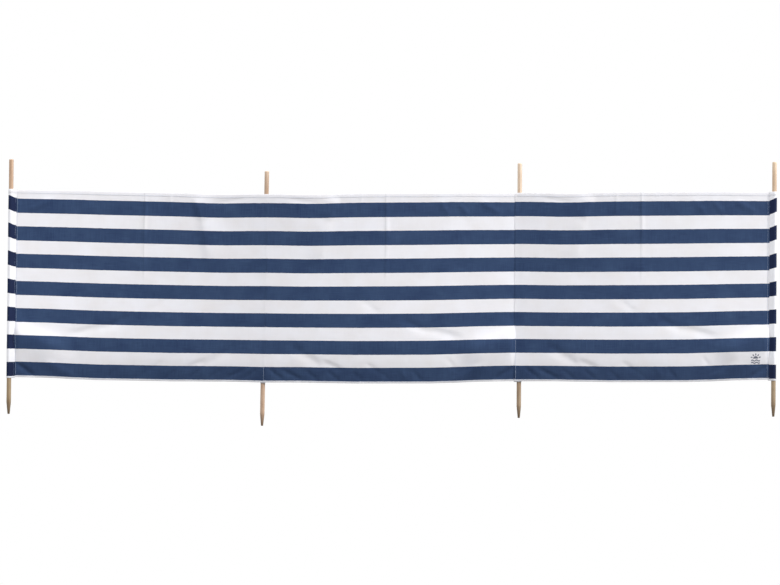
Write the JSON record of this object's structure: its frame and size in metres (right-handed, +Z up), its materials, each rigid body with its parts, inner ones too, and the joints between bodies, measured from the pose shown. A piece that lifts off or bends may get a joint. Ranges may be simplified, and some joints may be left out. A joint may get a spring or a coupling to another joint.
{
  "type": "beach windbreak",
  "caption": "Striped cloth beach windbreak: a long cloth in equal bays, sleeved on round wooden stakes with tapered feet, whose outer bays turn about the inner stakes.",
  "frame": {"origin": "centre of the blunt foot of pole 2, the second pole from the left", "axes": "+X along the cloth from pole 2 toward pole 3, +Y to the back, +Z up, with pole 2 leaning 1.1 degrees toward +X"},
  "size_m": [3.6317, 0.0704, 1.256],
  "materials": {
    "pole_wood": "turned softwood, sanded, unvarnished",
    "striped_cloth": "woven polycotton canvas with broad navy and white stripes",
    "sleeve_cloth": "woven polycotton canvas, striped",
    "seam_cloth": "doubled canvas, stitched",
    "hem_cloth": "folded white canvas, stitched",
    "thread": "spun polyester sewing thread"
  },
  "bodies": {
    "centre_bay": {"pole_2": "pole_wood", "pole_3": "pole_wood", "sleeve_2": "sleeve_cloth", "sleeve_3": "sleeve_cloth", "seam_2": "seam_cloth", "seam_3": "seam_cloth", "middle_cloth": "striped_cloth", "middle_top_hem": "hem_cloth", "middle_bottom_hem": "hem_cloth"},
    "left_bay": {"pole_1": "pole_wood", "sleeve_1": "sleeve_cloth", "seam_1": "seam_cloth", "left_cloth": "striped_cloth", "left_top_hem": "hem_cloth", "left_bottom_hem": "hem_cloth"},
    "right_bay": {"pole_4": "pole_wood", "sleeve_4": "sleeve_cloth", "seam_4": "seam_cloth", "right_cloth": "striped_cloth", "right_top_hem": "hem_cloth", "right_bottom_hem": "hem_cloth"}
  },
  "joints": [
    {"name": "left_bay_turn", "type": "hinge", "parent": "centre_bay", "child": "left_bay", "pos_m": [0.0124, 0, 0.64588], "axis": [0.0192, 0, 0.9998], "range_deg": [-90, 90]},
    {"name": "right_bay_turn", "type": "hinge", "parent": "centre_bay", "child": "right_bay", "pos_m": [1.2124, 0, 0.65188], "axis": [0.0044, 0, 1], "range_deg": [-90, 90]}
  ]
}
